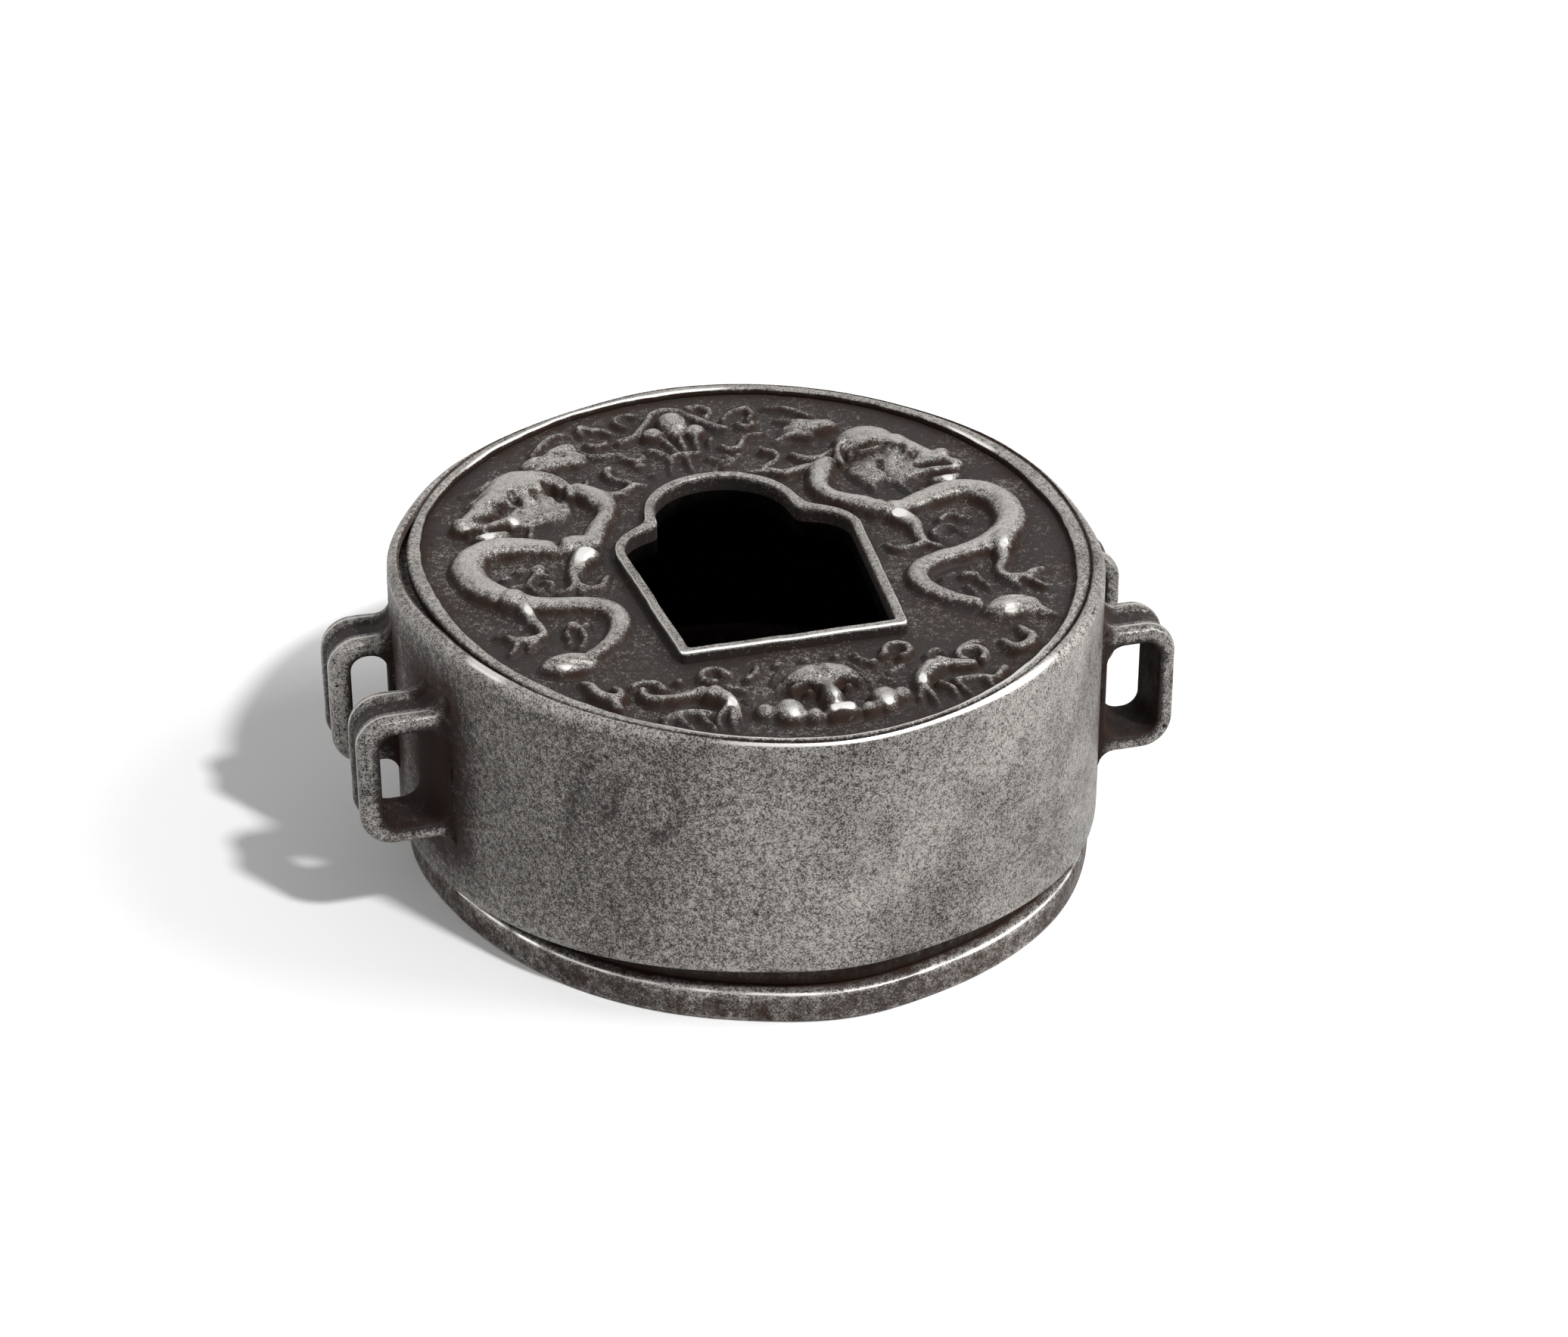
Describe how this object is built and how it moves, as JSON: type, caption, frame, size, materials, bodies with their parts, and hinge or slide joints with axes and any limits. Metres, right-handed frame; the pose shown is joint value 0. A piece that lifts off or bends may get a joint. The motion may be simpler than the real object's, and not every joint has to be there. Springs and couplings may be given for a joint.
{
  "type": "portable icon case",
  "caption": "Round forged iron case with a relief front, trefoil window, strap loops on both sides and a shallow lift-off back cover.",
  "frame": {"origin": "middle of the back cover's underside, on the surface the case lies on", "axes": "+Z out of the case's front, +Y towards the top of the window's arch, +X to the right seen from the front"},
  "size_m": [0.1136, 0.1036, 0.0454],
  "materials": {
    "worn_iron": "worn bright forged iron with fine dark pitting",
    "loop_iron": "worn forged iron, dark brown in the corners",
    "relief_iron": "dark patinated relief with bright worn high points",
    "cover_iron": "worn forged iron with small dark pits",
    "rusty_iron": "unpolished iron with brown rust"
  },
  "bodies": {
    "back_cover": {"back_plate": "rusty_iron", "back_rim": "cover_iron", "back_flange": "rusty_iron"},
    "case": {"side_band": "worn_iron", "front_plate": "relief_iron", "border_ring": "worn_iron", "window_frame": "worn_iron", "strap_loop_left_front": "loop_iron", "strap_loop_left_back": "loop_iron", "strap_loop_right_front": "loop_iron", "strap_loop_right_back": "loop_iron"}
  },
  "joints": [
    {"name": "case_lift", "type": "slide", "parent": "back_cover", "child": "case", "axis": [0, 0, 1], "range_m": [0, 0.045]}
  ]
}
